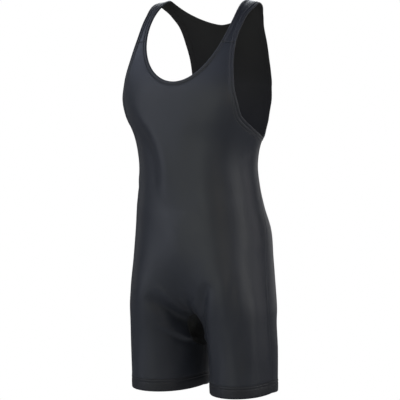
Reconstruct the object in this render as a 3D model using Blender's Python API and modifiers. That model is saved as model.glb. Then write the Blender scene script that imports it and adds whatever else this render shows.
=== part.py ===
"""A sleeveless singlet with mid-thigh legs, standing filled out as if it were worn.

The cloth follows a plain figure, described by level sections from the shoulder crest down to the
leg ends. Every cut edge is drafted on that figure as a tailor measures it: how far down from the
shoulder crest, and how far round from the side. The wearer's left is +x, the front faces -y, and
the origin lies midway between the two shoulder crests.
"""

import bmesh
import bpy
import numpy as np

# --- Driving dimensions, metres ---------------------------------------------------------------
CLOTH = 0.0012          # wall of the panels
BINDING_PROUD = 0.0006  # how far a folded binding stands out from the panel, on either side
BINDING_FOLD = 0.0012   # how far in from the cut edge its fold is rounded
GAP = 0.0003            # between two pieces at a seam
BINDING_GAP = 0.0004    # a little more along the curved cuts

NECK_BINDING = 0.0100   # width of the neckline binding
ARM_BINDING = 0.0120    # width of the armhole binding

NECK_HALF = 0.0960      # half the front neckline at its widest
NECK_WIDEST = -0.0370   # height of that place
NECK_BOTTOM = -0.1635   # lowest point of the front neckline
NECK_POWER = 2.0        # roundness of the front scoop
CREST_HALF = 0.0910     # half the neckline at the shoulder crest
NAPE = -0.0485          # lowest point of the back neckline
NAPE_POWER = 1.55
STRAP_OUT = 0.1240      # outer edge of the strap at the shoulder crest
STRAP_SEAM = -0.0850    # height of the seam that joins strap to front

GUSSET_TOP = -0.6400    # where the gusset meets the centre front and centre back
GUSSET_TIP = -0.7150    # its points on the inner thighs
TIP_HALF = 0.0040       # half the blunt end of the gusset
GUSSET_POWER = 0.8      # how full the gusset is between middle and tip
TIP_SHORT = 0.08        # radians by which the gusset stops short of its tip, to clear the inseam
GUSSET_GAP = 0.0010     # wider there, because the cloth hollows along the seam
HEM_TOP = -0.7730       # seam between leg and hem band, where the side seam and inseam meet it
HEM_END = -0.8000       # leg end at the same seams
HEM_SAG_FRONT = 0.0047  # the leg end hangs lower between those seams
HEM_SAG_BACK = 0.0018
HEM_WALL = 0.0020       # the hem is turned up, so it is two cloths thick

SHOULDER_FALL = 0.006   # how much lower the shoulder is at a strap's outer edge than its inner
FALL_END = -0.160       # height where that is past
FRONT_DROP, FRONT_POWER = 0.200, 1.7    # how the shoulder line falls to the chest
BACK_DROP, BACK_POWER = 0.170, 1.4      # and to the shoulder blades

# --- The figure: one row for each level section -----------------------------------------------
# axis     distance of the leg's axis from the middle plane
# reach    from that axis out to the side
# middle   y of the widest place
# front    from there forward to the cloth, back: the same backward
# power    2 is an ellipse, more is squarer
# lean     how far the section slants forward as it goes outward
# soft     how softly the two halves run into each other at the middle plane
FIGURE_COLUMNS = ("height", "axis", "reach", "middle", "front", "back", "power", "lean", "soft")
FIGURE = np.array([
    (0.000, 0.000, 0.172, 0.000, 0.122, 0.118, 3.00, 0.00, 0.020),
    (-0.060, 0.000, 0.172, -0.006, 0.122, 0.118, 3.00, 0.00, 0.020),
    (-0.120, 0.000, 0.172, -0.012, 0.122, 0.118, 3.00, 0.00, 0.020),
    (-0.170, 0.000, 0.171, -0.017, 0.122, 0.118, 3.00, 0.00, 0.020),
    (-0.205, 0.000, 0.167, -0.021, 0.118, 0.116, 3.00, 0.00, 0.020),
    (-0.240, 0.000, 0.155, -0.029, 0.109, 0.110, 2.70, 0.00, 0.020),
    (-0.277, 0.000, 0.139, -0.037, 0.099, 0.099, 2.35, 0.00, 0.020),
    (-0.330, 0.000, 0.129, -0.039, 0.095, 0.095, 2.20, 0.00, 0.020),
    (-0.375, 0.000, 0.132, -0.036, 0.095, 0.094, 2.20, 0.00, 0.020),
    (-0.420, 0.010, 0.128, -0.032, 0.096, 0.102, 2.20, 0.00, 0.020),
    (-0.470, 0.025, 0.120, -0.021, 0.103, 0.110, 2.20, 0.00, 0.020),
    (-0.530, 0.046, 0.103, -0.016, 0.104, 0.110, 2.15, 0.05, 0.020),
    (-0.590, 0.067, 0.088, -0.014, 0.100, 0.104, 2.10, 0.10, 0.018),
    (-0.630, 0.078, 0.081, -0.012, 0.095, 0.097, 2.05, 0.13, 0.013),
    (-0.665, 0.084, 0.076, -0.010, 0.090, 0.090, 2.00, 0.15, 0.008),
    (-0.710, 0.088, 0.074, -0.007, 0.086, 0.084, 2.00, 0.15, 0.006),
    (-0.760, 0.090, 0.072, -0.005, 0.084, 0.080, 2.00, 0.15, 0.006),
    (-0.820, 0.091, 0.070, -0.004, 0.082, 0.077, 2.00, 0.15, 0.006),
])

# --- The armhole's cut, from the underarm up to the shoulder crest ----------------------------
# down    distance over the cloth from the shoulder crest
# round   distance round the body from the side line, forward negative
ARMHOLE_FRONT = np.array([
    (0.3350, 0.0360),
    (0.3255, 0.0000),
    (0.3110, -0.0370),
    (0.2875, -0.0765),
    (0.2480, -0.1040),
    (0.1900, -0.1108),
    (0.1350, -0.1030),
    (0.0700, -0.0780),
    (0.0000, -0.0471),
])
ARMHOLE_BACK = np.array([
    (0.3205, 0.0360),
    (0.3105, 0.0665),
    (0.2860, 0.1005),
    (0.2433, 0.1347),
    (0.1986, 0.1450),
    (0.1600, 0.1365),
    (0.1200, 0.1200),
    (0.0780, 0.0990),
    (0.0480, 0.0770),
    (0.0000, 0.0471),
])
# The side seam, as (height, distance round from the side line).
SIDE_SEAM = np.array([
    (-0.277, 0.0360),
    (-0.330, 0.0300),
    (-0.420, 0.0200),
    (-0.530, 0.0050),
    (-0.600, 0.0000),
    (-0.820, 0.0000),
])

# --- The largest folds: one row for each, the same on the left and the right ------------------
# The cloth bridges the hollow below the belly, and sinks into a crease in front of each inner
# thigh. Each fold runs through three places, as a height and a distance round from the side line
# (negative on the front), and stands off the figure by its rise.
FOLD_COLUMNS = ("start_height", "start_round", "middle_height", "middle_round",
                "end_height", "end_round", "half_width", "rise")
FOLDS = np.array([
    (-0.425, -0.189, -0.560, -0.210, -0.652, -0.223, 0.034, 0.0088),
    (-0.592, -0.134, -0.645, -0.180, -0.668, -0.227, 0.017, -0.0080),
])
FOLD_TAPER = 0.7        # how bluntly a fold runs out at its two ends
FOLD_LEAST = 0.00001    # a smaller lift is left out

# --- How the panels are divided into cells ----------------------------------------------------
COLUMNS = 8             # cells from the inner edge of a panel to its outer edge
FRONT_ARM_MIDDLE = -0.2000      # place on the front armhole level with the front neckline's end
BACK_ARM_MIDDLE = -0.0950       # the same on the back
CHEST_END = -0.2650     # place on the centre front level with the underarm
SHOULDERS_END = -0.2550         # the same on the centre back
INNER_SAG = 0.0200      # sag of the row that starts at the neckline's lowest point
OUTER_SAG = 0.0240      # sag of the row that ends at the underarm
STRAP_ROWS = 8          # rows of cells from the strap seam to the shoulder crest
SCOOP_ROWS = 11         # rows beside the front neckline
CHEST_ROWS = 6          # rows from there to the underarm
NAPE_ROWS = 8           # rows beside the back neckline
SHOULDERS_ROWS = 10     # rows from there to the underarm
BODY_ROWS = 15          # rows from the underarm to the gusset
GUSSET_ROWS = 6         # rows beside the gusset
GUSSET_LONG = 4         # rows of the gusset from front to back
LEG_ROWS = 3            # rows from the gusset's point to the hem
HEM_ROWS = 2
FINE = 160              # steps of the ruler that measures round a section
LOWEST = -0.82          # end of the rulers that measure down the front and back

FRONT, BACK = -1, 1


# --- The figure's surface ---------------------------------------------------------------------
def bend(rows, knots_column, values_column, at):
    """Smooth curve through the rows: a cubic between each two, its slope the mean of theirs."""
    order = np.argsort(rows[:, knots_column])
    knot = rows[order, knots_column]
    value = rows[order, values_column]
    step = np.diff(knot)
    slope = np.diff(value) / step
    tangent = np.empty_like(value)
    tangent[0], tangent[-1] = slope[0], slope[-1]
    tangent[1:-1] = (step[1:] * slope[:-1] + step[:-1] * slope[1:]) / (step[1:] + step[:-1])
    i = np.clip(np.searchsorted(knot, at) - 1, 0, len(knot) - 2)
    t = (at - knot[i]) / step[i]
    ease = t * t * (3 - 2 * t)
    return (value[i] * (1 - ease) + value[i + 1] * ease
            + step[i] * t * (1 - t) * (tangent[i] * (1 - t) - tangent[i + 1] * t))


def figure(name, height):
    """One column of the figure at any height."""
    return bend(FIGURE, 0, FIGURE_COLUMNS.index(name), height)


def signed_power(value, power):
    return np.sign(value) * np.abs(value) ** power


def depth(height, face):
    """From the widest place to the cloth, front or back, closing to nothing at the crest."""
    drop, power = (FRONT_DROP, FRONT_POWER) if face == FRONT else (BACK_DROP, BACK_POWER)
    below = np.clip(1 + height / drop, 0, 1)
    return figure("front" if face == FRONT else "back", height) * (1 - below ** power) ** (1 / power)


def middle_angle(height):
    """The section's angle at the middle plane, or half a turn once the legs have parted."""
    inner = (figure("soft", height) - figure("axis", height)) / figure("reach", height)
    return np.arccos(signed_power(np.clip(inner, -1, 1), figure("power", height) / 2))


def section(height, angle, face):
    """The point at an angle round a section: 0 at the side, growing to the middle plane.

    The half section is an oval about the leg's axis. Its distance from the middle plane is taken
    as sqrt(x^2 + soft^2), which rounds the place where the two halves meet.
    """
    power = figure("power", height)
    out = figure("reach", height) * signed_power(np.cos(angle), 2 / power)
    along = depth(height, face) * np.abs(np.sin(angle)) ** (2 / power)
    from_middle = figure("axis", height) + out
    x = np.sqrt(np.clip(from_middle ** 2 - figure("soft", height) ** 2, 0, None))
    y = figure("middle", height) + face * along - figure("lean", height) * out
    outward = np.clip((x - CREST_HALF) / (STRAP_OUT - CREST_HALF), 0, 1)
    fall = SHOULDER_FALL * outward ** 2 * np.clip(1 - height / FALL_END, 0, 1) ** 2
    return np.stack([x, y, height - fall], -1)


def ruler(height, face):
    """Angles from the side line to the middle plane, and the cloth's length up to each."""
    share = np.linspace(0, 1, FINE)
    angle = middle_angle(height)[..., None] * (1 - (1 - share) ** 2)
    points = section(height[..., None] + 0 * angle, angle, face)
    length = np.linalg.norm(np.diff(points, axis=-2), axis=-1)
    return angle, np.concatenate([0 * angle[..., :1], np.cumsum(length, -1)], -1)


def girth(height, face):
    """From the side line to the middle plane, over the cloth."""
    return ruler(np.asarray(height, float), face)[1][..., -1]


def level_points(height, around):
    """Points at the given heights and distances round from the side line."""
    height, around = np.broadcast_arrays(np.asarray(height, float), around)
    found = []
    for face in (FRONT, BACK):
        angle, length = ruler(height, face)
        wanted = np.minimum(np.abs(around), length[..., -1])[..., None]
        at = np.clip((length <= wanted).sum(-1, keepdims=True) - 1, 0, FINE - 2)
        a, b = np.take_along_axis(angle, at, -1), np.take_along_axis(angle, at + 1, -1)
        l, m = np.take_along_axis(length, at, -1), np.take_along_axis(length, at + 1, -1)
        share = (wanted - l) / np.maximum(m - l, 1e-9)
        found.append(section(height, (a + share * (b - a))[..., 0], face))
    return np.where((around < 0)[..., None], found[0], found[1])


PROFILE_HEIGHTS = LOWEST * np.linspace(0, 1, 3000) ** 2


def profile(face):
    """Distance down from the shoulder crest along the front or the back."""
    y = figure("middle", PROFILE_HEIGHTS) + face * depth(PROFILE_HEIGHTS, face)
    return np.concatenate([[0], np.cumsum(np.hypot(np.diff(y), np.diff(PROFILE_HEIGHTS)))])


PROFILES = {FRONT: profile(FRONT), BACK: profile(BACK)}


def down_at(height, face):
    return np.interp(-height, -PROFILE_HEIGHTS, PROFILES[face])


def height_at(down, face):
    return np.interp(down, PROFILES[face], PROFILE_HEIGHTS)


# --- Cut edges, as rows of (height, distance round from the side line) ------------------------
def moved_in(down, over, inset, side):
    """A line on the flat pattern moved sideways by inset, towards the cloth."""
    along = np.column_stack([np.gradient(down), np.gradient(over)])
    along /= np.linalg.norm(along, axis=1, keepdims=True)
    return down - side * along[:, 1] * inset, over + side * along[:, 0] * inset


def armhole(face, inset=0.0):
    """From the underarm, which it leaves level, to the shoulder crest, which it meets square."""
    rows = ARMHOLE_FRONT if face == FRONT else ARMHOLE_BACK
    before = [rows[1, 0], 2 * rows[0, 1] - rows[1, 1]]
    after = [2 * rows[-1, 0] - rows[-2, 0], rows[-2, 1]]
    path = np.vstack([before, rows, after])
    reach = np.concatenate([[0], np.cumsum(np.linalg.norm(np.diff(path, axis=0), axis=1))])
    knots = np.column_stack([reach, path])
    at = np.linspace(reach[1], reach[-2], 400)
    down, around = moved_in(bend(knots, 0, 1, at), bend(knots, 0, 2, at), inset, -face)
    return np.column_stack([height_at(np.maximum(down, 0), face), around])


def neckline(face, inset=0.0):
    """From the lowest point of the neckline, on the middle plane, to the shoulder crest."""
    turn = np.linspace(0, np.pi / 2, 240)
    if face == BACK:
        x = CREST_HALF * np.sin(turn) ** (2 / NAPE_POWER)
        z = NAPE * np.cos(turn) ** (2 / NAPE_POWER)
    else:
        x = NECK_HALF * np.sin(turn) ** (2 / NECK_POWER)
        z = NECK_WIDEST + (NECK_BOTTOM - NECK_WIDEST) * np.cos(turn) ** (2 / NECK_POWER)
        climb = np.linspace(0, 1, 160)[1:]
        narrow = (NECK_HALF - CREST_HALF) * climb * climb * (3 - 2 * climb)
        x = np.concatenate([x, NECK_HALF - narrow])
        z = np.concatenate([z, height_at(down_at(NECK_WIDEST, face) * (1 - climb), face)])
    angle, length = ruler(z, face)
    reach = section(z[:, None] + 0 * angle, angle, face)[..., 0]
    around = [np.interp(-wanted, -there, at) for wanted, there, at in zip(x, reach, length)]
    over = girth(z, face) - around
    over[0] = 0
    down, over = moved_in(down_at(z, face), over, inset, -1)
    z = height_at(np.maximum(down, 0), face)
    return np.column_stack([z, face * (girth(z, face) - np.maximum(over, 0))])


def between(cut, low, high):
    """The stretch of a cut between two heights."""
    ends = [[z, np.interp(z, cut[:, 0], cut[:, 1])] for z in (low, high)]
    inside = (cut[:, 0] > low + 1e-6) & (cut[:, 0] < high - 1e-6)
    return np.vstack([ends[0], cut[inside], ends[1]])


def places(cut, shares):
    """Places at the given shares of a cut's length, counted from its upper end."""
    points = level_points(cut[:, 0], cut[:, 1])
    length = np.concatenate([[0], np.cumsum(np.linalg.norm(np.diff(points, axis=0), axis=1))])
    at = (1 - shares) * length[-1]
    return np.column_stack([np.interp(at, length, cut[:, column]) for column in (0, 1)])


# --- Edges: places spread along a cut, moved in by a binding's width or less --------------------
def stretch(cut, low, high, count):
    """From the upper end of a stretch of a cut down to its lower end."""
    return places(between(cut, low, high), np.linspace(0, 1, count + 1))


def side_seam(height, face):
    """The panel's edge along the side seam, half a gap from the seam."""
    return bend(SIDE_SEAM, 0, 1, height) + face * GAP / 2


def front_neck(inset):
    cut = neckline(FRONT, inset)
    return stretch(cut, cut[0, 0], STRAP_SEAM - GAP / 2, SCOOP_ROWS)


def back_neck(inset):
    """Up the strap, over the shoulder crest and down to the middle of the nape."""
    strap = stretch(neckline(FRONT, inset), STRAP_SEAM + GAP / 2, 0, STRAP_ROWS)
    cut = neckline(BACK, inset)
    return np.vstack([strap[:0:-1], stretch(cut, cut[0, 0], 0, NAPE_ROWS)])


def front_arm(inset):
    cut = armhole(FRONT, inset)
    upper = stretch(cut, FRONT_ARM_MIDDLE, STRAP_SEAM - GAP / 2, SCOOP_ROWS)
    lower = stretch(cut, cut[0, 0], FRONT_ARM_MIDDLE, CHEST_ROWS)
    lower[-1, 1] = side_seam(lower[-1, 0], FRONT)
    return np.vstack([upper, lower[1:]])


def back_arm(inset):
    """Up the strap, over the shoulder crest and down to the underarm."""
    strap = stretch(armhole(FRONT, inset), STRAP_SEAM + GAP / 2, 0, STRAP_ROWS)
    cut = armhole(BACK, inset)
    upper = stretch(cut, BACK_ARM_MIDDLE, 0, NAPE_ROWS)
    lower = stretch(cut, cut[0, 0], BACK_ARM_MIDDLE, SHOULDERS_ROWS)
    lower[-1, 1] = side_seam(lower[-1, 0], BACK)
    return np.vstack([strap[:0:-1], upper, lower[1:]])


# --- Panels, each a grid of points: rows from the top down, columns from inner to outer edge ---
def rows_between(inner, outer, inner_sag=0, outer_sag=0):
    """Rows from an inner edge to an outer edge, sagging near the one or the other."""
    q = np.linspace(0, 1, COLUMNS + 1)
    height = np.outer(inner[:, 0], 1 - q) + np.outer(outer[:, 0], q)
    height -= 6.75 * (np.outer(inner_sag, q * (1 - q) ** 2) + np.outer(outer_sag, q * q * (1 - q)))
    around = np.outer(inner[:, 1], 1 - q) + np.outer(outer[:, 1], q)
    return level_points(height, around)


def hump(start, peak, end, count):
    """Over count rows: nothing up to the start, 1 at the peak and nothing again from the end."""
    row = np.arange(count)
    rising = np.clip((row - start) / (peak - start), 0, 1)
    falling = np.clip((end - row) / (end - peak), 0, 1)
    return (rising * falling) ** 2


def trunk(neck, arm, centre_end, face, start):
    """Rows from the neckline and middle plane out to the armhole and side seam, to the gusset."""
    beside = len(arm) - len(neck)
    above = np.linspace(neck[-1, 0], centre_end, beside + 1)[1:]
    below = np.linspace(centre_end, GUSSET_TOP, BODY_ROWS + 1)[1:]
    height = np.concatenate([above, below])
    inner = np.vstack([neck, np.column_stack([height, face * girth(height, face)])])
    height = np.linspace(arm[-1, 0], GUSSET_TOP, BODY_ROWS + 1)[1:]
    outer = np.vstack([arm, np.column_stack([height, side_seam(height, face)])])
    neck_end, arm_end, last = len(neck) - 1, len(arm) - 1, len(inner) - 1
    inner_sag = INNER_SAG * hump(start, neck_end, arm_end, last + 1)
    outer_sag = OUTER_SAG * hump(neck_end, arm_end, last, last + 1)
    return rows_between(inner, outer, inner_sag, outer_sag)


def outside(x, y, z):
    """Negative inside the figure, positive outside, nothing on the cloth."""
    out = np.sqrt(x * x + figure("soft", z) ** 2) - figure("axis", z)
    along = y + figure("lean", z) * out - figure("middle", z)
    thick = np.where(along < 0, depth(z, FRONT), depth(z, BACK))
    power = figure("power", z)
    return np.abs(out / figure("reach", z)) ** power + np.abs(along / thick) ** power - 1


def crotch_points(angle, y):
    """Where rays from between the legs, turned outward from straight up, meet the cloth."""
    near, far = np.zeros_like(y), np.full_like(y, 0.14)
    for _ in range(40):
        half = (near + far) / 2
        clear = outside(half * np.sin(angle), y, GUSSET_TIP + half * np.cos(angle)) > 0
        near, far = np.where(clear, half, near), np.where(clear, far, half)
    return np.stack([near * np.sin(angle), y, GUSSET_TIP + near * np.cos(angle)], -1)


def gusset_edge(face, gap):
    """Ray angles, and the y of the gusset's seam on each: widest in the middle, blunt at the tip."""
    angle = np.linspace(0, np.pi / 2, GUSSET_ROWS + 1)
    top = np.array([GUSSET_TOP])
    top_y = section(top, middle_angle(top), face)[0, 1]
    tip = np.array([GUSSET_TIP])
    tip_y = section(tip, middle_angle(tip), face)[0, 1]
    half = TIP_HALF + (face * top_y - TIP_HALF) * np.cos(angle) ** GUSSET_POWER
    return angle, tip_y * np.sin(angle) + face * (half - gap)


def hem_sag(face):
    return HEM_SAG_FRONT if face == FRONT else HEM_SAG_BACK


def leg_rows(face):
    """Rows from the gusset's seam to the side seam, then from the inseam down to the hem."""
    seam = crotch_points(*gusset_edge(face, -GUSSET_GAP / 2))[1:]
    height = np.concatenate([seam[:, 2], np.linspace(GUSSET_TIP, HEM_TOP, LEG_ROWS + 1)[1:]])
    out = np.sqrt(seam[:, 0] ** 2 + figure("soft", seam[:, 2]) ** 2) - figure("axis", seam[:, 2])
    turned = signed_power(out / figure("reach", seam[:, 2]), figure("power", seam[:, 2]) / 2)
    angles, lengths = ruler(seam[:, 2], face)
    on_seam = [np.interp(np.arccos(t), a, l) for t, a, l in zip(turned, angles, lengths)]
    on_inseam = girth(height[GUSSET_ROWS:], face) - GAP / 2
    inner = np.column_stack([height, face * np.concatenate([on_seam, on_inseam])])
    outer_height = np.linspace(GUSSET_TOP, HEM_TOP, GUSSET_ROWS + LEG_ROWS + 1)[1:]
    outer = np.column_stack([outer_height, side_seam(outer_height, face)])
    sag = hem_sag(face) * np.clip((GUSSET_TIP - height) / (GUSSET_TIP - HEM_TOP), 0, 1)
    return rows_between(inner, outer, sag, sag)


def fold_lift(points):
    """How far the folds lift the cloth off the figure at some points, or sink it in."""
    t = np.linspace(0, 1, 65)[:, None]
    lift = np.zeros(points.shape[:-1])
    for row in FOLDS:
        start, middle, end = row[0:2], row[2:4], row[4:6]
        way = start * (1 - t) * (1 - 2 * t) + middle * 4 * t * (1 - t) + end * t * (2 * t - 1)
        apart = np.linalg.norm(points[..., None, :] - level_points(way[:, 0], way[:, 1]), axis=-1)
        half_width, rise = (row[FOLD_COLUMNS.index(name)] for name in ("half_width", "rise"))
        taper = np.sin(np.pi * t[apart.argmin(-1), 0]) ** FOLD_TAPER
        lift += rise * taper * np.exp(-(apart.min(-1) / half_width) ** 2)
    return lift


def folded(points):
    """Points on the figure, moved straight off it where a fold lifts or sinks the cloth."""
    lift = fold_lift(points)
    moved = np.abs(lift) > FOLD_LEAST
    at, step = points[moved], 1e-5 * np.eye(3)
    slope = [outside(*(at + way).T) - outside(*(at - way).T) for way in step]
    made = points.copy()
    made[moved] += unit(np.stack(slope, -1)) * lift[moved, None]
    return made


def front_grid():
    neck, arm = front_neck(NECK_BINDING + BINDING_GAP), front_arm(ARM_BINDING + BINDING_GAP)
    return folded(np.vstack([trunk(neck, arm, CHEST_END, FRONT, 0), leg_rows(FRONT)]))


def back_grid():
    neck, arm = back_neck(NECK_BINDING + BINDING_GAP), back_arm(ARM_BINDING + BINDING_GAP)
    return folded(np.vstack([trunk(neck, arm, SHOULDERS_END, BACK, STRAP_ROWS), leg_rows(BACK)]))


def gusset_grid():
    """Half the gusset: rows from its front seam to its back seam, columns from middle to tip."""
    angle, front_y = gusset_edge(FRONT, GUSSET_GAP / 2)
    back_y = gusset_edge(BACK, GUSSET_GAP / 2)[1]
    share = np.linspace(0, 1, GUSSET_LONG + 1)[:, None]
    y = front_y * (1 - share) + back_y * share
    angle[-1] -= TIP_SHORT
    return folded(crotch_points(angle + 0 * y, y))


# --- Making solids ----------------------------------------------------------------------------
def material(name, colour, roughness):
    made = bpy.data.materials.new(name)
    made.use_nodes = True
    shader = made.node_tree.nodes["Principled BSDF"]
    shader.inputs["Base Color"].default_value = (*colour, 1)
    shader.inputs["Roughness"].default_value = roughness
    return made


def new_object(name, points, faces, look, smooth=True):
    mesh = bpy.data.meshes.new(name)
    mesh.from_pydata(points.reshape(-1, 3).tolist(), [], faces)
    mesh.materials.append(look)
    if smooth:
        mesh.shade_smooth()
    made = bpy.data.objects.new(name, mesh)
    SINGLET.objects.link(made)
    return made


def quads(rows, columns, flip, ring=False):
    """Faces of a grid of points, with the last column joined to the first in a ring."""
    faces = []
    for i in range(rows - 1):
        for j in range(columns if ring else columns - 1):
            k = (j + 1) % columns
            face = (i * columns + j, (i + 1) * columns + j, (i + 1) * columns + k, i * columns + k)
            faces.append(face[::-1] if flip else face)
    return faces


def wall(made, thickness):
    """Cloth has its inner side on the figure and its thickness outward."""
    solid = made.modifiers.new("cloth", "SOLIDIFY")
    solid.thickness = thickness
    solid.offset = 1
    solid.use_even_offset = True


def panel(name, grid, look, flip):
    """A panel drawn as its left half, mirrored across the middle plane."""
    half = grid.copy()
    half[np.abs(half[..., 0]) < 1e-5, 0] = 0
    made = new_object(name, half, quads(*half.shape[:2], flip), look)
    mirror = made.modifiers.new("both halves", "MIRROR")
    mirror.merge_threshold = 0.00005
    wall(made, CLOTH)


def unit(vector):
    return vector / np.linalg.norm(vector, axis=-1, keepdims=True)


def binding_rings(edge, width):
    """Rings round a strip folded over a cut edge, with its fold on the cut.

    Each column of the strip lies at one inset from the cut: on the cut, just inside the fold, in
    the middle and at the inner edge. Its two sides stand proud of the panel's two faces.
    """
    insets = [edge(inset) for inset in (0, BINDING_FOLD, width / 2, width)]
    grid = np.stack([level_points(line[:, 0], line[:, 1]) for line in insets], axis=1)
    out = unit(np.cross(np.gradient(grid, axis=0), np.gradient(grid, axis=1)))
    out *= np.sign(np.sum(out * (grid - CHEST_MIDDLE), axis=-1, keepdims=True))
    on_middle = np.abs(grid[:, 0, 0]) < 1e-5
    grid[on_middle, :, 0] = 0
    out[on_middle, :, 0] = 0
    under, over = grid - BINDING_PROUD * unit(out), grid + (CLOTH + BINDING_PROUD) * unit(out)
    fold = (under[:, 0] + over[:, 0]) / 2
    profile_points = [under[:, 3], over[:, 3], over[:, 2], over[:, 1], fold, under[:, 1], under[:, 2]]
    return np.stack(profile_points, axis=1)


def strip(name, rings, look):
    """A closed solid through rings, with both ends filled."""
    count, around = rings.shape[:2]
    first = tuple(range(around))
    last = tuple((count - 1) * around + j for j in range(around))
    faces = quads(count, around, False, ring=True) + [first[::-1], last]
    made = new_object(name, rings, faces, look)
    shell = bmesh.new()
    shell.from_mesh(made.data)
    bmesh.ops.recalc_face_normals(shell, faces=shell.faces)
    shell.to_mesh(made.data)
    shell.free()
    return made


def neck_binding(name, edge, look):
    half = binding_rings(edge, NECK_BINDING)
    return strip(name, np.vstack([half * MIRRORED, half[-2::-1]]), look)


def arm_binding(name, edge, look, side):
    half = binding_rings(edge, ARM_BINDING)
    return strip(name, half if side > 0 else half * MIRRORED, look)


def hem_half(face):
    """Rows of a hem band, columns from the inseam to the side seam."""
    height = np.linspace(HEM_TOP - GAP, HEM_END, HEM_ROWS + 1)
    inner = np.column_stack([height, face * girth(height, face)])
    outer = np.column_stack([height, 0 * height])
    sag = np.full(len(height), hem_sag(face))
    return rows_between(inner, outer, sag, sag)


def hem_band(name, look, side):
    """The turned-up end of a leg, a short tube."""
    grid = np.hstack([hem_half(FRONT)[:, :-1], hem_half(BACK)[:, :0:-1]])
    if side < 0:
        grid = grid * MIRRORED
    made = new_object(name, grid, quads(*grid.shape[:2], side < 0, ring=True), look)
    wall(made, HEM_WALL)


# --- The garment ------------------------------------------------------------------------------
for old in list(bpy.data.objects):
    bpy.data.objects.remove(old)

SINGLET = bpy.data.collections.new("gymnastics_singlet")
bpy.context.scene.collection.children.link(SINGLET)
MIRRORED = np.array([-1.0, 1.0, 1.0])
CHEST_MIDDLE = np.array([0.0, -0.02, -0.30])

charcoal = material("charcoal satin knit", (0.040, 0.043, 0.052), 0.42)
lining_black = material("charcoal knit, gusset", (0.032, 0.035, 0.043), 0.50)
binding_grey = material("charcoal binding", (0.055, 0.058, 0.066), 0.50)
hem_grey = material("charcoal hem", (0.036, 0.039, 0.048), 0.45)

panel("front_panel", front_grid(), charcoal, False)
panel("back_panel", back_grid(), charcoal, True)
panel("crotch_gusset", gusset_grid(), lining_black, False)

neck_binding("front_neck_binding", front_neck, binding_grey)
neck_binding("back_neck_binding", back_neck, binding_grey)
for word, side in (("left", 1), ("right", -1)):
    arm_binding(word + "_front_arm_binding", front_arm, binding_grey, side)
    arm_binding(word + "_back_arm_binding", back_arm, binding_grey, side)
    hem_band(word + "_leg_hem", hem_grey, side)
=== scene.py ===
"""A gymnastics singlet: no sleeves, a scooped neck, a cut-in back and legs that end at mid-thigh.

It stands filled out as if it were worn. The wearer's left is +x, the front faces -y, and the
origin lies midway between the crests of the two shoulder straps. Every piece is a surface laid on
one plain figure: a place on the cloth is a height and a distance round the body from the side
line, and a cut edge is a line of such places.
"""

import bpy
import numpy as np
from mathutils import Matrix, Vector


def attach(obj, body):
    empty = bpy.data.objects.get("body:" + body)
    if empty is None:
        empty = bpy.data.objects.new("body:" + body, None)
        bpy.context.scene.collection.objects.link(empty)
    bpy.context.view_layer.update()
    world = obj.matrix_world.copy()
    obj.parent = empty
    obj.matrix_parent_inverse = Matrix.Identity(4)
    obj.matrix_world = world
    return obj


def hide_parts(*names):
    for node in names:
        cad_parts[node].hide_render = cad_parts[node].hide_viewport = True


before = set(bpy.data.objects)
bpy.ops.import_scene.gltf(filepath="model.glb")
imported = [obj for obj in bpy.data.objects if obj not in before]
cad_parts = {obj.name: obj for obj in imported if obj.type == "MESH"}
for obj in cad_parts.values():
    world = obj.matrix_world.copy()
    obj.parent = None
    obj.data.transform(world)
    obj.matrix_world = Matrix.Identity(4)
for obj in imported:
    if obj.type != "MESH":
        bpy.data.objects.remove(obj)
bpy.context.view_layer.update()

# --- Camera ---------------------------------------------------------------------------------------
# Seen from the wearer's left front, almost level, and from far enough off that the two legs are
# drawn nearly the same size. The picture is square.
CAMERA_AZIMUTH, CAMERA_PITCH = np.radians(32), np.radians(4)
CAMERA_DISTANCE = 4.4
VIEW_WIDTH = 0.828      # what the picture holds at the garment's middle
VIEW_MIDDLE = Vector((0, -0.02, -0.41))
AIM_LEFT = 0.0062       # the camera aims this far to the left of that middle, as it sees it
SENSOR = 36             # width of the camera's sensor in millimetres
toward_camera = Vector((np.sin(CAMERA_AZIMUTH) * np.cos(CAMERA_PITCH),
                        -np.cos(CAMERA_AZIMUTH) * np.cos(CAMERA_PITCH), np.sin(CAMERA_PITCH)))
camera_right = Vector((np.cos(CAMERA_AZIMUTH), np.sin(CAMERA_AZIMUTH), 0))
camera_aim = VIEW_MIDDLE - AIM_LEFT * camera_right
camera = bpy.data.objects.new("camera", bpy.data.cameras.new("camera"))
bpy.context.scene.collection.objects.link(camera)
camera.location = camera_aim + CAMERA_DISTANCE * toward_camera
camera.rotation_euler = (-toward_camera).to_track_quat("-Z", "Y").to_euler()
camera.data.sensor_width = SENSOR
camera.data.lens = SENSOR * CAMERA_DISTANCE / VIEW_WIDTH
bpy.context.scene.camera = camera

# --- Floor and studio light -----------------------------------------------------------------------
# A plain white floor where the wearer would stand, in a white room. Tall soft boxes stand round
# the garment and draw the soft upright bands that a satin knit shows. Those that hang overhead
# are cooler.
FLOOR_HEIGHT, FLOOR_HALF = -1.43, 9.0
ROOM_LIGHT = 0.02       # how brightly the room lights the cloth
FLOOR_SHADE = 0.50      # how pale the floor is as a reflector under the garment

scene = bpy.context.scene
scene.view_settings.view_transform = "Standard"


def white_to_the_eye(tree, lit, white_shader, out):
    """Full white as seen directly, and the lit shader as a source of light."""
    path = tree.nodes.new("ShaderNodeLightPath")
    seen = tree.nodes.new(white_shader)
    seen.inputs["Color"].default_value = (1, 1, 1, 1)
    mix = tree.nodes.new("ShaderNodeMixShader")
    tree.links.new(path.outputs["Is Camera Ray"], mix.inputs[0])
    tree.links.new(lit.outputs[0], mix.inputs[1])
    tree.links.new(seen.outputs[0], mix.inputs[2])
    tree.links.new(mix.outputs[0], out.inputs["Surface"])


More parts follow.
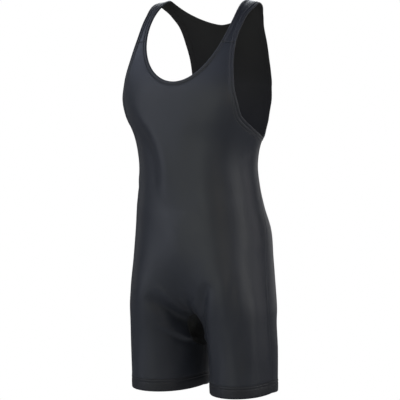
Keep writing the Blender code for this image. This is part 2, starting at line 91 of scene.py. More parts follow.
room = bpy.data.worlds.new("white room")
room.use_nodes = True
room_lit = room.node_tree.nodes["Background"]
room_lit.inputs["Color"].default_value = (1, 1, 1, 1)
room_lit.inputs["Strength"].default_value = ROOM_LIGHT
white_to_the_eye(room.node_tree, room_lit, "ShaderNodeBackground",
                 room.node_tree.nodes["World Output"])
scene.world = room

floor_look = bpy.data.materials.new("white floor")
floor_look.use_nodes = True
floor_lit = floor_look.node_tree.nodes["Principled BSDF"]
floor_lit.inputs["Base Color"].default_value = (FLOOR_SHADE, FLOOR_SHADE, FLOOR_SHADE, 1)
floor_lit.inputs["Roughness"].default_value = 0.9
white_to_the_eye(floor_look.node_tree, floor_lit, "ShaderNodeEmission",
                 floor_look.node_tree.nodes["Material Output"])
floor_mesh = bpy.data.meshes.new("floor")
floor_mesh.from_pydata([(x * FLOOR_HALF, y * FLOOR_HALF, FLOOR_HEIGHT)
                        for x, y in ((-1, -1), (1, -1), (1, 1), (-1, 1))], [], [(0, 1, 2, 3)])
floor_mesh.materials.append(floor_look)
floor = bpy.data.objects.new("floor", floor_mesh)
scene.collection.objects.link(floor)


STAND_OFF = 2.6         # distance out from the garment of the boxes that stand round it
OVERHEAD, HANG_OFF = 1.27, 2.0      # height of the boxes overhead, and their distance out
LIT_MIDDLE = Vector((0, 0, -0.40))      # the place that every box faces
WHITE = (1.00, 1.00, 1.00)


def soft_box(name, azimuth, height, distance, size, watts, colour):
    """A panel of light at an azimuth round the garment, turned to face the garment's middle."""
    light = bpy.data.lights.new(name, "AREA")
    light.shape = "RECTANGLE"
    light.size, light.size_y = size
    light.energy = watts
    light.color = colour
    box = bpy.data.objects.new(name, light)
    scene.collection.objects.link(box)
    around = np.radians(azimuth)
    box.location = (distance * np.sin(around), -distance * np.cos(around), height)
    box.rotation_euler = (LIT_MIDDLE - box.location).to_track_quat("-Z", "Y").to_euler()
    box.visible_camera = False


soft_box("right front box", -44, -0.05, STAND_OFF, (1.0, 2.4), 15.2, (0.86, 0.90, 1.00))
soft_box("middle front box", -6, -0.35, STAND_OFF, (0.9, 2.0), 9.8, (0.97, 1.00, 0.88))
soft_box("left front box", 34, -0.05, STAND_OFF, (0.8, 1.6), 6.8, (1.00, 0.94, 0.72))
soft_box("left side box", 82, -0.12, STAND_OFF, (0.8, 1.6), 12.4, (1.00, 1.00, 0.94))
soft_box("left rear box", 120, -0.12, STAND_OFF, (0.8, 1.6), 7.4, (1.00, 0.98, 0.98))
soft_box("back box", 175, -0.12, STAND_OFF, (1.2, 1.5), 4.0, WHITE)
soft_box("right rear box", -100, -0.12, STAND_OFF, (0.8, 1.6), 2.0, WHITE)
soft_box("front overhead box", -20, OVERHEAD, HANG_OFF, (1.4, 1.4), 6.8, (0.77, 0.83, 1.00))
soft_box("right overhead box", -80, OVERHEAD, HANG_OFF, (1.4, 1.4), 10.0, (0.74, 0.81, 1.00))
soft_box("left overhead box", 62, OVERHEAD, HANG_OFF, (1.4, 1.4), 14.0, (0.70, 0.75, 1.00))
soft_box("back overhead box", 205, OVERHEAD, HANG_OFF, (1.6, 1.4), 22.0, (0.90, 0.95, 1.00))

# --- Front panel ----------------------------------------------------------------------------------
# One piece of satin stretch knit from the strap seams down to both leg hems, charcoal, 1.2 mm
# thick, its edges cut to the scooped neck, the armholes, the side seams and the gusset.
CLOTH = 0.0012          # thickness of the knit
GAP = 0.00004           # between two pieces butted at a seam
LAP = 0.0015            # how far a cut edge goes on inside the fold of its binding or hem

NECK_BINDING = 0.0100   # width of the neckline binding
ARM_BINDING = 0.0120    # width of the armhole binding

NECK_HALF = 0.0960      # half the front neckline at its widest
NECK_WIDEST = -0.0370   # height of that place
NECK_BOTTOM = -0.1635   # lowest point of the front neckline
NECK_POWER = 2.0        # roundness of the front scoop
CREST_HALF = 0.0910     # half the neckline at the shoulder crest
NAPE = -0.0485          # lowest point of the back neckline
NAPE_POWER = 1.55
STRAP_OUT = 0.1240      # outer edge of the strap at the shoulder crest
STRAP_SEAM = -0.0850    # height of the seam that joins strap to front

GUSSET_TOP = -0.6400    # where the gusset meets the centre front and centre back
GUSSET_TIP = -0.7150    # its points on the inner thighs
TIP_HALF = 0.0006       # half the blunt end of the gusset
GUSSET_POWER = 0.8      # how full the gusset is between middle and tip
HEM_TOP = -0.7730       # seam between leg and hem band at the side seam and inseam
HEM_SAG_FRONT = 0.0047  # the leg end hangs lower between those seams
HEM_SAG_BACK = 0.0018

SHOULDER_FALL = 0.006   # how much lower the shoulder is at a strap's outer edge than its inner
FALL_END = -0.160       # height where that is past
FRONT_DROP, FRONT_POWER = 0.200, 1.7    # how the shoulder line falls to the chest
BACK_DROP, BACK_POWER = 0.170, 1.4      # and to the shoulder blades

# The figure, one row for each level section: axis is the distance of the leg's axis from the
# middle plane, reach from there out to the side, middle the y of the widest place, front and back
# from there to the cloth, power 2 an ellipse and more squarer, lean how far the section slants
# forward as it goes outward, and soft how softly the two halves meet at the middle plane.
FIGURE_COLUMNS = ("height", "axis", "reach", "middle", "front", "back", "power", "lean", "soft")
FIGURE = np.array([
    (0.000, 0.000, 0.172, 0.000, 0.122, 0.118, 3.00, 0.00, 0.020),
    (-0.060, 0.000, 0.172, -0.006, 0.122, 0.118, 3.00, 0.00, 0.020),
    (-0.120, 0.000, 0.172, -0.012, 0.122, 0.118, 3.00, 0.00, 0.020),
    (-0.170, 0.000, 0.171, -0.017, 0.122, 0.118, 3.00, 0.00, 0.020),
    (-0.205, 0.000, 0.167, -0.021, 0.118, 0.116, 3.00, 0.00, 0.020),
    (-0.240, 0.000, 0.155, -0.029, 0.109, 0.110, 2.70, 0.00, 0.020),
    (-0.277, 0.000, 0.139, -0.037, 0.099, 0.099, 2.35, 0.00, 0.020),
    (-0.330, 0.000, 0.129, -0.039, 0.095, 0.095, 2.20, 0.00, 0.020),
    (-0.375, 0.000, 0.132, -0.036, 0.095, 0.094, 2.20, 0.00, 0.020),
    (-0.420, 0.010, 0.128, -0.032, 0.096, 0.102, 2.20, 0.00, 0.020),
    (-0.470, 0.025, 0.120, -0.021, 0.103, 0.110, 2.20, 0.00, 0.020),
    (-0.530, 0.046, 0.103, -0.016, 0.104, 0.110, 2.15, 0.05, 0.020),
    (-0.590, 0.067, 0.088, -0.014, 0.100, 0.104, 2.10, 0.10, 0.018),
    (-0.630, 0.078, 0.081, -0.012, 0.095, 0.097, 2.05, 0.13, 0.013),
    (-0.665, 0.084, 0.076, -0.010, 0.090, 0.090, 2.00, 0.15, 0.008),
    (-0.710, 0.088, 0.074, -0.007, 0.086, 0.084, 2.00, 0.15, 0.006),
    (-0.760, 0.090, 0.072, -0.005, 0.084, 0.080, 2.00, 0.15, 0.006),
    (-0.820, 0.091, 0.070, -0.004, 0.082, 0.077, 2.00, 0.15, 0.006),
])
# The armhole's cut from underarm to crest: distance down over the cloth from the shoulder crest,
# and distance round the body from the side line, forward negative.
ARMHOLE_FRONT = np.array([
    (0.3350, 0.0360), (0.3255, 0.0000), (0.3110, -0.0370), (0.2875, -0.0765), (0.2480, -0.1040),
    (0.1900, -0.1108), (0.1350, -0.1030), (0.0700, -0.0780), (0.0000, -0.0471),
])
# The side seam, as (height, distance round from the side line).
SIDE_SEAM = np.array([
    (-0.277, 0.0360), (-0.330, 0.0300), (-0.420, 0.0200), (-0.530, 0.0050), (-0.600, 0.0000),
    (-0.820, 0.0000),
])

COLUMNS = 40            # cells from the inner edge of a panel to its outer edge, about 4 mm each
SCOOP_ROWS, CHEST_ROWS, BODY_ROWS, GUSSET_ROWS, LEG_ROWS = 55, 30, 75, 30, 15
FRONT_ARM_MIDDLE = -0.2000      # place on the armhole level with the neckline's lowest point
CHEST_END = -0.2650     # place on the centre front level with the underarm
INNER_SAG = 0.0200      # sag of the row that starts at the neckline's lowest point
OUTER_SAG = 0.0240      # sag of the row that ends at the underarm
FINE = 160              # steps of the ruler that measures round a section
CUT_STEPS = 400         # steps along an armhole's cut, and along a section out to a cut
SCOOP_STEPS = 240       # steps along the scoop of a neckline
CLIMB_STEPS = 160       # steps along the front neckline from its widest place to the crest
PROFILE_STEPS = 3000    # steps from the shoulder crest down to the figure's lower end
RAY_LENGTH, HALVINGS = 0.14, 40         # of the rays that find the cloth between the legs
FRONT, BACK = -1, 1


def bend(rows, knots_column, values_column, at):
    """Smooth curve through the rows: a cubic between each two, its slope the mean of theirs."""
    order = np.argsort(rows[:, knots_column])
    knot, value = rows[order, knots_column], rows[order, values_column]
    step = np.diff(knot)
    slope = np.diff(value) / step
    tangent = np.concatenate([slope[:1], (step[1:] * slope[:-1] + step[:-1] * slope[1:])
                              / (step[1:] + step[:-1]), slope[-1:]])
    i = np.clip(np.searchsorted(knot, at) - 1, 0, len(knot) - 2)
    t = (at - knot[i]) / step[i]
    ease = t * t * (3 - 2 * t)
    return (value[i] * (1 - ease) + value[i + 1] * ease
            + step[i] * t * (1 - t) * (tangent[i] * (1 - t) - tangent[i + 1] * t))


def figure(name, height):
    """One column of the figure at any height."""
    return bend(FIGURE, 0, FIGURE_COLUMNS.index(name), height)


def signed_power(value, power):
    """|value|^power with value's sign."""
    return np.sign(value) * np.abs(value) ** power


def depth(height, face):
    """From the widest place to the cloth: the section's depth times (1 - below^p)^(1/p)."""
    drop, power = (FRONT_DROP, FRONT_POWER) if face == FRONT else (BACK_DROP, BACK_POWER)
    below = np.clip(1 + height / drop, 0, 1)
    full = figure("front" if face == FRONT else "back", height)
    return full * (1 - below ** power) ** (1 / power)


def middle_angle(height):
    """The section's angle at the middle plane, or half a turn once the legs have parted."""
    inner = (figure("soft", height) - figure("axis", height)) / figure("reach", height)
    return np.arccos(signed_power(np.clip(inner, -1, 1), figure("power", height) / 2))


def section(height, angle, face):
    """The point at an angle round a section: 0 at the side, growing to the middle plane.

    The half section is a superellipse about the leg's axis: out = reach cos^(2/p) and
    along = depth sin^(2/p). Its distance from the middle plane is then x = sqrt(d^2 - soft^2),
    which rounds the place where the two halves meet.
    """
    power = figure("power", height)
    out = figure("reach", height) * signed_power(np.cos(angle), 2 / power)
    along = depth(height, face) * np.abs(np.sin(angle)) ** (2 / power)
    from_middle = figure("axis", height) + out
    x = np.sqrt(np.clip(from_middle ** 2 - figure("soft", height) ** 2, 0, None))
    y = figure("middle", height) + face * along - figure("lean", height) * out
    outward = np.clip((x - CREST_HALF) / (STRAP_OUT - CREST_HALF), 0, 1)
    fall = SHOULDER_FALL * outward ** 2 * np.clip(1 - height / FALL_END, 0, 1) ** 2
    return np.stack(np.broadcast_arrays(x, y, height - fall), -1)


def ruler(height, face):
    """Angles from the side line to the middle plane, and the cloth's length up to each."""
    share = np.linspace(0, 1, FINE)
    angle = middle_angle(height)[..., None] * (1 - (1 - share) ** 2)
    points = section(height[..., None], angle, face)
    length = np.linalg.norm(np.diff(points, axis=-2), axis=-1)
    return angle, np.concatenate([0 * angle[..., :1], np.cumsum(length, -1)], -1)


def girth(height, face):
    """From the side line to the middle plane, over the cloth."""
    return ruler(np.asarray(height, float), face)[1][..., -1]


def level_points(height, around):
    """Points at the given heights and distances round from the side line, negative in front."""
    height, around = np.broadcast_arrays(np.asarray(height, float), around)
    found = []
    for face in (FRONT, BACK):
        angle, length = ruler(height, face)
        wanted = np.minimum(np.abs(around), length[..., -1])[..., None]
        at = np.clip((length <= wanted).sum(-1, keepdims=True) - 1, 0, FINE - 2)
        a, b = np.take_along_axis(angle, at, -1), np.take_along_axis(angle, at + 1, -1)
        l, m = np.take_along_axis(length, at, -1), np.take_along_axis(length, at + 1, -1)
        share = (wanted - l) / np.maximum(m - l, 1e-9)
        found.append(section(height, (a + share * (b - a))[..., 0], face))
    return np.where((around < 0)[..., None], found[0], found[1])


def on_figure(places):
    """Points of the figure at an array of places (height, around)."""
    return level_points(places[..., 0], places[..., 1])


PROFILE_HEIGHTS = FIGURE[-1, 0] * np.linspace(0, 1, PROFILE_STEPS) ** 2


def profile(face):
    """Distance down from the shoulder crest along the front or the back."""
    y = figure("middle", PROFILE_HEIGHTS) + face * depth(PROFILE_HEIGHTS, face)
    return np.concatenate([[0], np.cumsum(np.hypot(np.diff(y), np.diff(PROFILE_HEIGHTS)))])


PROFILES = {FRONT: profile(FRONT), BACK: profile(BACK)}


def down_at(height, face):
    """Distance down over the cloth from the crest to a height."""
    return np.interp(-height, -PROFILE_HEIGHTS, PROFILES[face])


def height_at(down, face):
    """The height at a distance down over the cloth from the crest."""
    return np.interp(down, PROFILES[face], PROFILE_HEIGHTS)


def length_along(points):
    """Distance along a line from its first point to each of its points."""
    steps = np.linalg.norm(np.diff(points, axis=0), axis=-1)
    return np.concatenate([[0], np.cumsum(steps)])


def moved_in(down, over, inset, side):
    """A line on the flat pattern moved sideways by inset, towards the cloth."""
    along = np.column_stack([np.gradient(down), np.gradient(over)])
    along /= np.linalg.norm(along, axis=1, keepdims=True)
    return down - side * along[:, 1] * inset, over + side * along[:, 0] * inset


def armhole_cut(rows, face, inset):
    """From the underarm, which the cut leaves level, to the crest, which it meets square."""
    before = [rows[1, 0], 2 * rows[0, 1] - rows[1, 1]]
    after = [2 * rows[-1, 0] - rows[-2, 0], rows[-2, 1]]
    path = np.vstack([before, rows, after])
    reach = length_along(path)
    knots = np.column_stack([reach, path])
    at = np.linspace(reach[1], reach[-2], CUT_STEPS)
    down, around = moved_in(bend(knots, 0, 1, at), bend(knots, 0, 2, at), inset, -face)
    return np.column_stack([height_at(np.maximum(down, 0), face), around])


def round_to(x, height, face):
    """Distance round from the side line to where the sections at the given heights reach x.

    The angle there is found from cos^(2/p) = out / reach, and the distance is the length of the
    section up to that angle, summed over short steps.
    """
    out = np.sqrt(x * x + figure("soft", height) ** 2) - figure("axis", height)
    turned = signed_power(out / figure("reach", height), figure("power", height) / 2)
    angle = np.arccos(np.clip(turned, -1, 1))
    steps = section(height[:, None], angle[:, None] * np.linspace(0, 1, CUT_STEPS), face)
    return np.linalg.norm(np.diff(steps, axis=1), axis=-1).sum(1)


def neck_cut(x, height, face, inset):
    """A neckline given as seen from the front, as (height, distance round from the side line)."""
    over = girth(height, face) - round_to(x, height, face)
    over[0] = 0
    down, over = moved_in(down_at(height, face), over, inset, -1)
    height = height_at(np.maximum(down, 0), face)
    return np.column_stack([height, face * (girth(height, face) - np.maximum(over, 0))])


def front_neckline(inset):
    """From the lowest point up a superelliptic scoop, then narrowing gently to the crest."""
    turn = np.linspace(0, np.pi / 2, SCOOP_STEPS)
    x = NECK_HALF * np.sin(turn) ** (2 / NECK_POWER)
    height = NECK_WIDEST + (NECK_BOTTOM - NECK_WIDEST) * np.cos(turn) ** (2 / NECK_POWER)
    climb = np.linspace(0, 1, CLIMB_STEPS)[1:]
    narrow = (NECK_HALF - CREST_HALF) * climb * climb * (3 - 2 * climb)
    x = np.concatenate([x, NECK_HALF - narrow])
    rest = height_at(down_at(NECK_WIDEST, FRONT) * (1 - climb), FRONT)
    return neck_cut(x, np.concatenate([height, rest]), FRONT, inset)


def stretch(cut, low, high, count):
    """Places at even distances from the upper end of a stretch of a cut down to its lower end."""
    ends = [[z, np.interp(z, cut[:, 0], cut[:, 1])] for z in (low, high)]
    inside = (cut[:, 0] > low + 1e-6) & (cut[:, 0] < high - 1e-6)
    part = np.vstack([ends[0], cut[inside], ends[1]])
    length = length_along(on_figure(part))
    at = (1 - np.linspace(0, 1, count + 1)) * length[-1]
    return np.column_stack([np.interp(at, length, part[:, column]) for column in (0, 1)])


def side_seam(height, face):
    """The panel's edge along the side seam, half a gap from the seam."""
    return bend(SIDE_SEAM, 0, 1, height) + face * GAP / 2


def front_neck(inset):
    """The front neckline from the strap seam down to the middle."""
    cut = front_neckline(inset)
    return stretch(cut, cut[0, 0], STRAP_SEAM - GAP / 2, SCOOP_ROWS)


def front_arm(inset):
    """The front armhole from the strap seam down to the underarm."""
    cut = armhole_cut(ARMHOLE_FRONT, FRONT, inset)
    upper = stretch(cut, FRONT_ARM_MIDDLE, STRAP_SEAM - GAP / 2, SCOOP_ROWS)
    lower = stretch(cut, cut[0, 0], FRONT_ARM_MIDDLE, CHEST_ROWS)
    lower[-1, 1] = side_seam(lower[-1, 0], FRONT)
    return np.vstack([upper, lower[1:]])


def rows_between(inner, outer, inner_sag=0, outer_sag=0):
    """Places (height, around) on rows from an inner edge to an outer edge.

    Each row is straight on the flat pattern but for a sag near its one end or its other, the
    cubic 6.75 q (1 - q)^2, which is 1 at a third of the way.
    """
    q = np.linspace(0, 1, COLUMNS + 1)
    height = np.outer(inner[:, 0], 1 - q) + np.outer(outer[:, 0], q)
    height -= 6.75 * (np.outer(inner_sag, q * (1 - q) ** 2) + np.outer(outer_sag, q * q * (1 - q)))
    return np.stack([height, np.outer(inner[:, 1], 1 - q) + np.outer(outer[:, 1], q)], -1)


def hump(start, peak, end, count):
    """Over count rows: nothing up to the start, 1 at the peak and nothing again from the end."""
    row = np.arange(count)
    rising = np.clip((row - start) / (peak - start), 0, 1)
    falling = np.clip((end - row) / (end - peak), 0, 1)
    return (rising * falling) ** 2


def trunk(neck, arm, centre_end, face, start):
    """Rows from the neckline and middle plane out to the armhole and side seam, to the gusset."""
    beside = len(arm) - len(neck)
    above = np.linspace(neck[-1, 0], centre_end, beside + 1)[1:]
    below = np.linspace(centre_end, GUSSET_TOP, BODY_ROWS + 1)[1:]
    height = np.concatenate([above, below])
    inner = np.vstack([neck, np.column_stack([height, face * girth(height, face)])])
    height = np.linspace(arm[-1, 0], GUSSET_TOP, BODY_ROWS + 1)[1:]
    outer = np.vstack([arm, np.column_stack([height, side_seam(height, face)])])
    neck_end, arm_end, last = len(neck) - 1, len(arm) - 1, len(inner) - 1
    inner_sag = INNER_SAG * hump(start, neck_end, arm_end, last + 1)
    outer_sag = OUTER_SAG * hump(neck_end, arm_end, last, last + 1)
    return rows_between(inner, outer, inner_sag, outer_sag)


def outside(x, y, z):
    """Negative inside the figure, positive outside, nothing on the cloth."""
    out = np.sqrt(x * x + figure("soft", z) ** 2) - figure("axis", z)
    along = y + figure("lean", z) * out - figure("middle", z)
    thick = np.where(along < 0, depth(z, FRONT), depth(z, BACK))
    power = figure("power", z)
    return np.abs(out / figure("reach", z)) ** power + np.abs(along / thick) ** power - 1


def crotch_points(angle, y):
    """Where rays from between the legs, turned outward from straight up, meet the cloth.

    The place on each ray is found by halving the stretch between a point outside the figure and
    one inside it, for all rays at once.
    """
    near, far = np.zeros_like(y), np.full_like(y, RAY_LENGTH)
    for _ in range(HALVINGS):
        half = (near + far) / 2
        clear = outside(half * np.sin(angle), y, GUSSET_TIP + half * np.cos(angle)) > 0
        near, far = np.where(clear, half, near), np.where(clear, far, half)
    return np.stack([near * np.sin(angle), y, GUSSET_TIP + near * np.cos(angle)], -1)


def gusset_edge(face, gap):
    """Ray angles, and the y of the gusset's seam on each, from its widest to its blunt tip."""
    angle = np.linspace(0, np.pi / 2, GUSSET_ROWS + 1)
    top, tip = np.array([GUSSET_TOP]), np.array([GUSSET_TIP])
    top_y = section(top, middle_angle(top), face)[0, 1]
    tip_y = section(tip, middle_angle(tip), face)[0, 1]
    half = TIP_HALF + (face * top_y - TIP_HALF) * np.cos(angle) ** GUSSET_POWER
    return angle, tip_y * np.sin(angle) + face * (half - gap)


def hem_sag(face):
    """How much lower the leg end hangs between its seams, front or back."""
    return HEM_SAG_FRONT if face == FRONT else HEM_SAG_BACK


def leg_rows(face):
    """Rows from the gusset's seam to the side seam, then from the inseam down to the hem."""
    seam = crotch_points(*gusset_edge(face, -GAP / 2))[1:]
    height = np.concatenate([seam[:, 2], np.linspace(GUSSET_TIP, HEM_TOP - LAP, LEG_ROWS + 1)[1:]])
    on_seam = round_to(seam[:, 0], seam[:, 2], face)
    on_inseam = girth(height[GUSSET_ROWS:], face) - GAP / 2
    inner = np.column_stack([height, face * np.concatenate([on_seam, on_inseam])])
    outer_height = np.linspace(GUSSET_TOP, HEM_TOP - LAP, GUSSET_ROWS + LEG_ROWS + 1)[1:]
    outer = np.column_stack([outer_height, side_seam(outer_height, face)])
    sag = hem_sag(face) * np.clip((GUSSET_TIP - height) / (GUSSET_TIP - HEM_TOP), 0, 1)
    return rows_between(inner, outer, sag, sag)


# Creases and swells of the worn cloth, one row each: side +1 on the wearer's left, -1 on the
# right and 0 on both, three places (height, distance round) that the fold runs through, half its
# width, and how far the cloth stands off the figure there, negative in a trough.
FOLDS = (
    # chest: a ridge drawn from the right underarm in to the waist with the cloth sunk beside it,
    # and a broad trough left of the middle
    (-1, -0.205, -0.136, -0.305, -0.1500, -0.410, -0.1600, 0.0190, 0.0036),
    (-1, -0.240, -0.110, -0.320, -0.1230, -0.400, -0.1300, 0.0170, -0.0014),
    (1, -0.245, -0.134, -0.350, -0.1450, -0.470, -0.1520, 0.0230, -0.0024),
    (1, -0.240, -0.075, -0.300, -0.0780, -0.370, -0.0850, 0.0180, 0.0012),
    # pulls at the underarm
    (-1, -0.283, -0.010, -0.315, -0.0330, -0.362, -0.0460, 0.0090, -0.0014),
    (1, -0.281, -0.006, -0.308, -0.0200, -0.340, -0.0280, 0.0080, -0.0010),
    # front waist
    (-1, -0.372, -0.020, -0.386, -0.0560, -0.384, -0.0950, 0.0090, -0.0010),
    (-1, -0.398, -0.036, -0.410, -0.0700, -0.408, -0.1040, 0.0100, -0.0007),
    (1, -0.384, -0.020, -0.395, -0.0500, -0.392, -0.0880, 0.0110, -0.0006),
    # down the front of each thigh
    (-1, -0.560, -0.112, -0.650, -0.1240, -0.775, -0.1180, 0.0200, 0.0024),
    (-1, -0.630, -0.172, -0.700, -0.1800, -0.768, -0.1720, 0.0170, -0.0022),
    (-1, -0.590, -0.062, -0.650, -0.0780, -0.745, -0.0820, 0.0150, -0.0008),
    (1, -0.555, -0.098, -0.612, -0.1110, -0.740, -0.1200, 0.0120, 0.0012),
    (1, -0.552, -0.082, -0.605, -0.0910, -0.680, -0.0960, 0.0090, -0.0016),
    (1, -0.655, -0.072, -0.700, -0.0800, -0.752, -0.0760, 0.0110, -0.0012),
    (1, -0.560, -0.040, -0.670, -0.0430, -0.755, -0.0470, 0.0150, 0.0016),
    (1, -0.585, -0.122, -0.690, -0.1500, -0.785, -0.1560, 0.0120, 0.0030),
    (1, -0.640, -0.178, -0.705, -0.1820, -0.772, -0.1860, 0.0140, -0.0045),
    # the cloth stretched flat from thigh to thigh above the crotch
    (0, -0.425, -0.1890, -0.560, -0.2100, -0.6520, -0.2230, 0.0340, 0.0088),
    # from each hip in to the crotch, along the gusset, and from the inner thighs to the inseams
    (-1, -0.582, -0.154, -0.610, -0.1870, -0.640, -0.2160, 0.0060, 0.0034),
    (-1, -0.602, -0.138, -0.646, -0.1860, -0.668, -0.2280, 0.0150, -0.0135),
    (1, -0.572, -0.136, -0.622, -0.1640, -0.690, -0.1880, 0.0100, -0.0070),
    (1, -0.592, -0.166, -0.624, -0.1960, -0.643, -0.2200, 0.0060, 0.0016),
    (-1, -0.664, -0.143, -0.686, -0.1880, -0.698, -0.2320, 0.0060, 0.0040),
    (-1, -0.674, -0.146, -0.698, -0.1880, -0.711, -0.2290, 0.0075, -0.0030),
    (1, -0.666, -0.160, -0.688, -0.1930, -0.700, -0.2310, 0.0060, 0.0024),
    (1, -0.682, -0.168, -0.703, -0.1980, -0.716, -0.2300, 0.0075, -0.0022),
    # a broad swell low inside the right leg
    (-1, -0.690, 0.236, -0.765, 0.2260, -0.845, 0.2140, 0.0300, 0.0036),
    # back: blades to waist, small of the back, under the seat, thighs
    (-1, -0.262, 0.1120, -0.320, 0.1180, -0.380, 0.1360, 0.0120, -0.0024),
    (1, -0.270, 0.1060, -0.325, 0.1130, -0.372, 0.1280, 0.0110, -0.0019),
    (1, -0.210, 0.1750, -0.280, 0.1680, -0.350, 0.1600, 0.0150, 0.0016),
    (-1, -0.225, 0.1780, -0.290, 0.1720, -0.345, 0.1660, 0.0140, 0.0012),
    (-1, -0.372, 0.0700, -0.386, 0.1120, -0.383, 0.1600, 0.0080, -0.0018),
    (1, -0.378, 0.0800, -0.389, 0.1200, -0.388, 0.1680, 0.0085, -0.0015),
    (1, -0.404, 0.0620, -0.414, 0.1000, -0.412, 0.1420, 0.0080, -0.0012),
    (-1, -0.402, 0.0920, -0.409, 0.1260, -0.406, 0.1700, 0.0075, -0.0010),
    (-1, -0.610, 0.0900, -0.634, 0.1420, -0.640, 0.2000, 0.0090, -0.0026),
    (1, -0.606, 0.0820, -0.629, 0.1350, -0.637, 0.1960, 0.0090, -0.0023),
    (-1, -0.655, 0.1100, -0.672, 0.1600, -0.682, 0.2150, 0.0065, 0.0015),
    (1, -0.662, 0.1250, -0.678, 0.1700, -0.690, 0.2160, 0.0060, 0.0018),
    (1, -0.640, 0.0600, -0.700, 0.0720, -0.760, 0.0700, 0.0130, -0.0012),
    (-1, -0.650, 0.0800, -0.705, 0.0900, -0.755, 0.0860, 0.0120, -0.0010),
)
SNAP = 0.0005           # what lies nearer than this to the middle plane is put on it
SIDE_BLEND = 0.010      # a fold of one side fades out this far past the middle plane
FOLD_STEPS, TAPER_POWER = 129, 0.7      # points along a fold, and how fast it rises from its ends
FOLD_REACH = 3          # how many half widths beyond a fold's extent its rise is dropped
FALL_CLEAR = 1.2 * FALL_END     # height below which the shoulders' fall is well past


def fold_paths():
    """Points along each fold, on the parabola through its three places, and the taper there."""
    rows = np.array(FOLDS)
    t = np.linspace(0, 1, FOLD_STEPS)[:, None]
    start, middle, end = (rows[:, None, i:i + 2] for i in (1, 3, 5))
    place = (start * (1 - t) * (1 - 2 * t) + middle * 4 * t * (1 - t) + end * t * (2 * t - 1))
    points = on_figure(place)
    points[..., 0] *= rows[:, :1]
    return points, np.sin(np.pi * t[:, 0]) ** TAPER_POWER


FOLD_PATHS, FOLD_TAPER = fold_paths()


def relief(points):
    """How far the cloth stands off the figure, at points on the figure.

    It is the sum over the folds of rise times exp(-(distance / half width)^2), tapered towards
    the fold's two ends by sin(pi t)^0.7.
    """
    flat = points.reshape(-1, 3)
    total = np.zeros(len(flat))
    for fold, path in zip(FOLDS, FOLD_PATHS):
        side, half_width, rise = fold[0], fold[-2], fold[-1]
        reach = np.ptp(path, 0) + FOLD_REACH * half_width
        close = np.flatnonzero((np.abs(flat - path.mean(0)) < reach).all(1))
        apart = np.linalg.norm(flat[close, None] - path, axis=-1)
        own_side = np.clip(0.5 + side * flat[close, 0] / (2 * SIDE_BLEND), 0, 1) if side else 1
        total[close] += (rise * np.exp(-(apart.min(1) / half_width) ** 2)
                         * FOLD_TAPER[apart.argmin(1)] * own_side)
    return total.reshape(points.shape[:-1])


def slope(points):
    """Unit directions straight off the figure: the gradient of `outside` at points on it."""
    step = 1e-5 * np.eye(3)
    rise = [outside(*np.moveaxis(points + way, -1, 0)) - outside(*np.moveaxis(points - way, -1, 0))
            for way in step]
    out = np.stack(rise, -1)
    return out / np.linalg.norm(out, axis=-1, keepdims=True)


def outward(points, turn):
    """Unit directions off a grid of points on the figure.

    Below the shoulders' fall they are the slope of the figure, and above that the cross product
    of the grid's two gradients.
    """
    out = turn * np.cross(np.gradient(points, axis=0), np.gradient(points, axis=1))
    low = points[..., 2] < FALL_CLEAR
    out[low] = slope(points[low])
    out[np.abs(points[..., 0]) < SNAP, 0] = 0
    return out / np.linalg.norm(out, axis=-1, keepdims=True)


def grid_faces(rows, columns, ring=False):
    """Four-cornered faces of a grid of points, its last column joined to the first in a ring."""
    index = np.arange(rows * columns).reshape(rows, columns)
    if ring:
        index = np.hstack([index, index[:, :1]])
    corners = index[:-1, :-1], index[1:, :-1], index[1:, 1:], index[:-1, 1:]
    return np.stack(corners, -1).reshape(-1, 4)


def lay(name, points, faces, weave, looks):
    """A piece with its place on the cloth, in metres along and across the grain, as its UV map."""
    used, faces = np.unique(faces, return_inverse=True)
    faces = faces.reshape(-1, 4)
    mesh = bpy.data.meshes.new(name)
    mesh.from_pydata(points.reshape(-1, 3)[used].tolist(), [], faces.tolist())
    grain = mesh.uv_layers.new(name="weave")
    grain.data.foreach_set("uv", weave.reshape(-1, 2)[used][faces].ravel())
    mesh.shade_smooth()
    for look in looks:
        mesh.materials.append(look)
    piece = bpy.data.objects.new(name, mesh)
    scene.collection.objects.link(piece)
    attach(piece, "root")
    return piece


def both_halves(name, half, turn, weave, looks):
    """A piece drawn as its left half, laid on both sides with each side's own folds.

    The two halves share their points on the middle plane, and the cloth's thickness is outward.
    """
    half[np.abs(half[..., 0]) < SNAP, 0] = 0
    rows, columns = half.shape[:2]
    out, sides, grains = outward(half, turn), [], []
    for side in (1, -1):
        mirror = np.array([side, 1, 1])
        sides.append(half * mirror + out * mirror * relief(half * mirror)[..., None])
        grains.append(weave * mirror[:2])
    left = grid_faces(rows, columns)[:, ::turn]
    index = np.arange(rows * columns) + rows * columns
    on_middle = half[..., 0].ravel() == 0
    index[on_middle] -= rows * columns
    faces = np.vstack([left, index[left[:, ::-1]]])
    piece = lay(name, np.stack(sides), faces, np.stack(grains), looks)
    wall = piece.modifiers.new("cloth", "SOLIDIFY")
    wall.thickness, wall.offset = CLOTH, 1
    wall.material_offset = len(looks) - 1
    crisp = piece.modifiers.new("flat to the cut edge", "WEIGHTED_NORMAL")
    crisp.weight = 100
    return piece


def grain_of(places, face):
    """Across the grain from the middle plane, and along it down from the crest.

    Below the crotch the distance across goes on from the girth there, so no wale breaks.
    """
    height, around = places[..., 0], places[..., 1]
    across = girth(np.maximum(height, GUSSET_TOP), face) - np.abs(around)
    return np.stack([across, down_at(height, face)], -1)


WALE, COURSE = 0.0008, 0.0011   # width and height of a stitch of the knit
WAVE_PERIOD = np.pi / 10        # what a wave texture of scale 1 repeats after
YARN_SCALE, CLOUD_SCALE = 1600, 14      # how fine the yarn's mottling and the broad patches are


